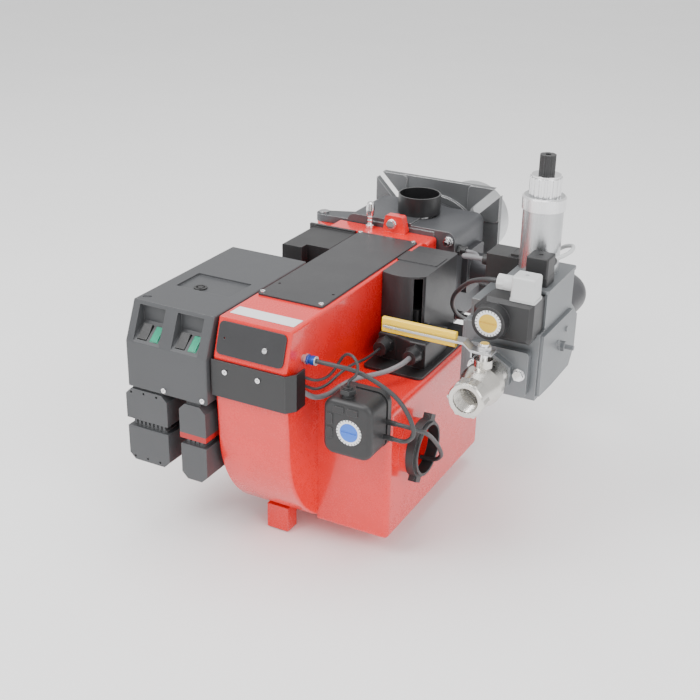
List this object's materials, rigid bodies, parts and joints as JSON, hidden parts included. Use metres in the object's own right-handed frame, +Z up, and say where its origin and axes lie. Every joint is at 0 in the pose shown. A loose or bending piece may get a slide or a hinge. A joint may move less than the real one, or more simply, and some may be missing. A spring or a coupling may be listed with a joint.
{
  "type": "gas burner",
  "caption": "Monobloc gas burner on a square boiler flange: hinged fan housing, control cabinet, side air intake box and a side gas train with ball valve, valve block and damper knob.",
  "frame": {"origin": "centre of the boiler flange's rear face, on the blast tube's axis", "axes": "+Y along the blast tube into the boiler, +X to the gas train's side, +Z up"},
  "size_m": [0.539, 0.773, 0.5463],
  "materials": {
    "red_enamel": "glossy",
    "dark_casting": "satin",
    "galvanised": "satin",
    "steel": "satin",
    "burnished": "polished",
    "cabinet_grey": "satin",
    "cover_grey": "satin",
    "black_steel": "satin",
    "black_plastic": "satin",
    "valve_grey": "satin",
    "light_grey": "satin",
    "can_grey": "satin",
    "nickel": "brushed",
    "yellow_grip": "glossy",
    "yellow_dial": "satin",
    "blue_dial": "satin",
    "green_lens": "glossy",
    "hose_black": "satin",
    "cable_grey": "satin",
    "pipe_black": "satin",
    "ceramic_white": "glossy",
    "blue_nut": "glossy"
  },
  "bodies": {
    "flange_unit": {"flange_plate": "dark_casting", "blast_tube": "galvanised", "neck_casting": "dark_casting", "neck_glands": "black_plastic", "hinge_pin": "steel", "inlet_sleeve": "black_steel", "gas_lance": "steel", "diffuser_disc": "steel", "electrodes": "ceramic_white", "gas_elbow": "pipe_black", "valve_body": "valve_grey", "valve_covers": "valve_grey", "inlet_flange": "valve_grey", "gas_train_bolts": "burnished", "terminal_box": "black_plastic", "black_connector": "black_plastic", "solenoid_can": "can_grey", "gas_switch": "black_plastic", "grey_connector": "light_grey", "ball_valve_body": "nickel", "switch_cable": "hose_black", "valve_cable": "cable_grey", "brake_cable": "cable_grey"},
    "burner": {"fan_housing": "red_enamel", "housing_lid": "cover_grey", "front_plate": "cover_grey", "cable_bracket": "black_steel", "intake_box": "red_enamel", "clamp_ring": "black_plastic", "servo_cover": "cover_grey", "gland_box": "black_plastic", "cable_glands": "black_plastic", "air_switch": "black_plastic", "pressure_fitting": "blue_nut", "pressure_hose": "hose_black", "reference_hose": "hose_black", "switch_lead": "hose_black", "servo_lead": "hose_black", "motor_lead": "cable_grey", "cabinet": "cabinet_grey", "indicator_lamps": "green_lens", "plug_sockets": "cabinet_grey", "fan_motor": "black_steel", "ignition_transformer": "black_plastic", "housing_screws": "burnished"},
    "fan": {"fan_wheel": "galvanised"},
    "air_damper": {"air_damper": "galvanised"},
    "valve_handle": {"valve_ball": "burnished", "valve_lever": "steel", "lever_grip": "yellow_grip"},
    "brake_adjuster": {"brake_knob": "burnished", "brake_cap": "black_plastic"},
    "gas_dial": {"gas_dial": "yellow_dial"},
    "air_dial": {"air_dial": "blue_dial"},
    "rocker_left": {"rocker_left": "black_plastic"},
    "rocker_right": {"rocker_right": "black_plastic"},
    "reset_button": {"reset_button": "black_plastic"},
    "seven_pole_plug": {"seven_pole_plug": "cabinet_grey"},
    "four_pole_plug": {"four_pole_plug": "cabinet_grey"},
    "locking_plunger": {"locking_plunger": "burnished"}
  },
  "joints": [
    {"name": "burner_hinge", "type": "hinge", "parent": "flange_unit", "child": "burner", "pos_m": [-0.147, -0.127, 0], "axis": [0, 0, -1], "range_deg": [0, 90]},
    {"name": "fan_shaft", "type": "hinge", "parent": "burner", "child": "fan", "pos_m": [0, -0.421, -0.112], "axis": [1, 0, 0], "continuous": true},
    {"name": "damper_shaft", "type": "hinge", "parent": "burner", "child": "air_damper", "pos_m": [0.065, -0.3, -0.112], "axis": [0, 0, 1], "range_deg": [0, 28]},
    {"name": "valve_stem", "type": "hinge", "parent": "flange_unit", "child": "valve_handle", "pos_m": [0.272, -0.47, 0], "axis": [0, 0, 1], "range_deg": [0, 90]},
    {"name": "brake_spindle", "type": "hinge", "parent": "flange_unit", "child": "brake_adjuster", "pos_m": [0.284, -0.32, 0.212], "axis": [0, 0, 1], "range_deg": [-180, 180]},
    {"name": "gas_dial_turn", "type": "hinge", "parent": "flange_unit", "child": "gas_dial", "pos_m": [0.267, -0.448, 0.075], "axis": [0, -1, 0], "range_deg": [0, 270]},
    {"name": "air_dial_turn", "type": "hinge", "parent": "burner", "child": "air_dial", "pos_m": [0.133, -0.564, -0.063], "axis": [0, -1, 0], "range_deg": [0, 270]},
    {"name": "rocker_left_tilt", "type": "hinge", "parent": "burner", "child": "rocker_left", "pos_m": [-0.164, -0.58607, 0.01882], "axis": [-1, 0, 0], "range_deg": [0, 14]},
    {"name": "rocker_right_tilt", "type": "hinge", "parent": "burner", "child": "rocker_right", "pos_m": [-0.103, -0.58607, 0.01882], "axis": [-1, 0, 0], "range_deg": [0, 14]},
    {"name": "reset_push", "type": "slide", "parent": "burner", "child": "reset_button", "axis": [0, 0, -1], "range_m": [0, 0.002], "stiffness_N_per_m": 400, "springref_m": -0.001},
    {"name": "seven_pole_pull", "type": "slide", "parent": "burner", "child": "seven_pole_plug", "axis": [0, 0, -1], "range_m": [0, 0.03]},
    {"name": "four_pole_pull", "type": "slide", "parent": "burner", "child": "four_pole_plug", "axis": [0, 0, -1], "range_m": [0, 0.03]},
    {"name": "plunger_pull", "type": "slide", "parent": "burner", "child": "locking_plunger", "axis": [0, 0, 1], "range_m": [0, 0.008], "stiffness_N_per_m": 400, "springref_m": -0.002}
  ]
}
